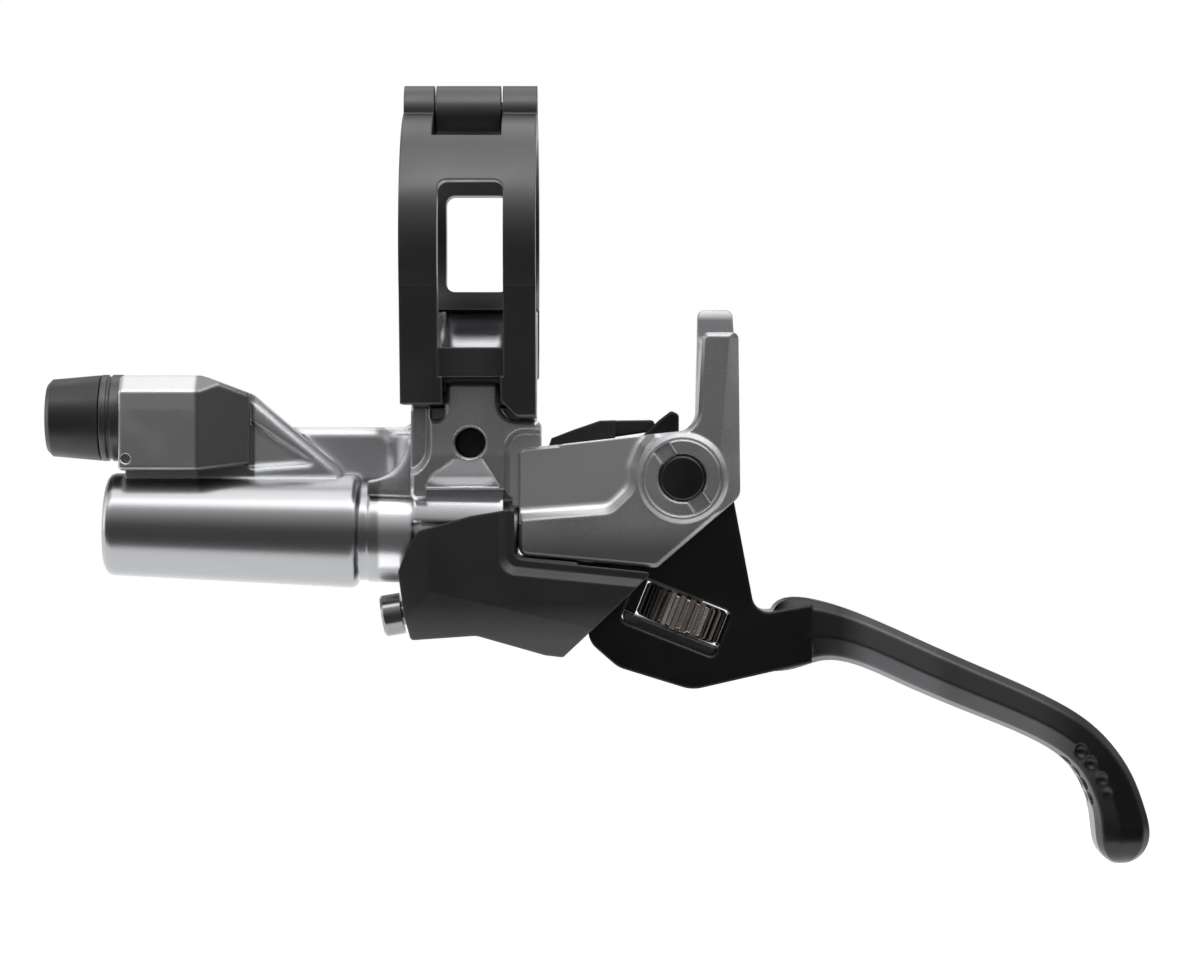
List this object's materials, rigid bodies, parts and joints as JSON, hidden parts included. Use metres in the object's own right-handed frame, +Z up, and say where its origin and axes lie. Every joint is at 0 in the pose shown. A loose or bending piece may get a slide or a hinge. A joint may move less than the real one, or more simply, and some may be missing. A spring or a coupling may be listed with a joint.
{
  "type": "bicycle brake lever",
  "caption": "Hydraulic brake lever for a flat handlebar, with a hinged bar clamp, master cylinder, reach dial and hooked blade.",
  "frame": {"origin": "centre of the handlebar clamp's bore", "axes": "+X along the handlebar towards the end of the blade, +Y away from the near side, +Z up towards the clamp's hinge"},
  "size_m": [0.1166, 0.0282, 0.0825],
  "materials": {
    "body_grey": "satin gunmetal anodised, polished edges",
    "black_alloy": "satin black anodised",
    "black_plastic": "satin moulded black",
    "dark_steel": "black oxide",
    "bright_steel": "turned steel",
    "dial_metal": "warm grey anodised",
    "boot_rubber": "satin dark grey rubber",
    "seal_rubber": "black sealing rubber",
    "olive_brass": "plain brass"
  },
  "bodies": {
    "root": {"lever_body": "body_grey", "clamp_front_band": "black_alloy", "clamp_rear_band": "black_alloy", "clamp_hinge_pin": "dark_steel", "clamp_anchor_pin": "dark_steel", "clamp_bolt": "dark_steel", "hose_nut": "black_alloy", "hose_cover": "boot_rubber", "olive": "olive_brass", "cylinder_plug": "body_grey", "rod_guide": "black_plastic", "rod_seal": "seal_rubber", "mechanism_cover": "black_plastic", "cover_screw": "dark_steel", "pivot_pin": "dark_steel", "pivot_clip": "bright_steel", "pivot_bush_near": "body_grey", "pivot_bush_far": "body_grey", "dust_shield": "black_plastic", "reservoir_lid": "body_grey", "reservoir_screws": "dark_steel", "diaphragm": "seal_rubber", "bleed_screw": "dark_steel"},
    "arm": {"pull_arm": "black_alloy"},
    "blade": {"lever_blade": "black_alloy", "blade_bushes": "black_plastic", "detent_plate": "black_plastic"},
    "dial": {"reach_dial": "dial_metal"},
    "reach_pin": {"reach_screw": "bright_steel"},
    "plunger": {"piston": "black_plastic", "primary_seal": "seal_rubber", "secondary_seal": "seal_rubber", "piston_spring": "bright_steel", "pull_rod": "bright_steel", "roller_pin": "bright_steel", "pull_rollers": "bright_steel"},
    "free_stroke": {"free_stroke_screw": "bright_steel"}
  },
  "joints": [
    {"name": "lever_pull", "type": "hinge", "parent": "root", "child": "arm", "pos_m": [0.0223, 0, -0.0248], "axis": [0, -1, 0], "range_deg": [0, 18], "stiffness_Nm_per_rad": 0.25, "springref_deg": -20.05},
    {"name": "blade_reach", "type": "hinge", "parent": "arm", "child": "blade", "pos_m": [0.0223, 0, -0.0248], "axis": [0, -1, 0], "range_deg": [-3.62, 3.62]},
    {"name": "dial_turn", "type": "hinge", "parent": "blade", "child": "dial", "pos_m": [0.0224, 0, -0.0391], "axis": [0.3665, 0, 0.9304], "range_deg": [-270, 270]},
    {"name": "screw_feed", "type": "slide", "parent": "blade", "child": "reach_pin", "axis": [0.3665, 0, 0.9304], "range_m": [-0.000337, 0.000337]},
    {"name": "piston_slide", "type": "slide", "parent": "root", "child": "plunger", "axis": [0.9996, 0, -0.0279], "range_m": [0, 0.00208], "deforming": ["piston_spring"]},
    {"name": "free_stroke_turn", "type": "hinge", "parent": "root", "child": "free_stroke", "pos_m": [-0.0082, 0, -0.0393], "axis": [0.9864, 0, 0.1642], "range_deg": [-360, 360]}
  ],
  "couplings": [
    {"joint": "lever_pull", "follows": "piston_slide", "rad_per_m": 150.69},
    {"joint": "dial_turn", "follows": "screw_feed", "rad_per_m": -13961},
    {"joint": "blade_reach", "follows": "screw_feed", "rad_per_m": -187.46}
  ]
}
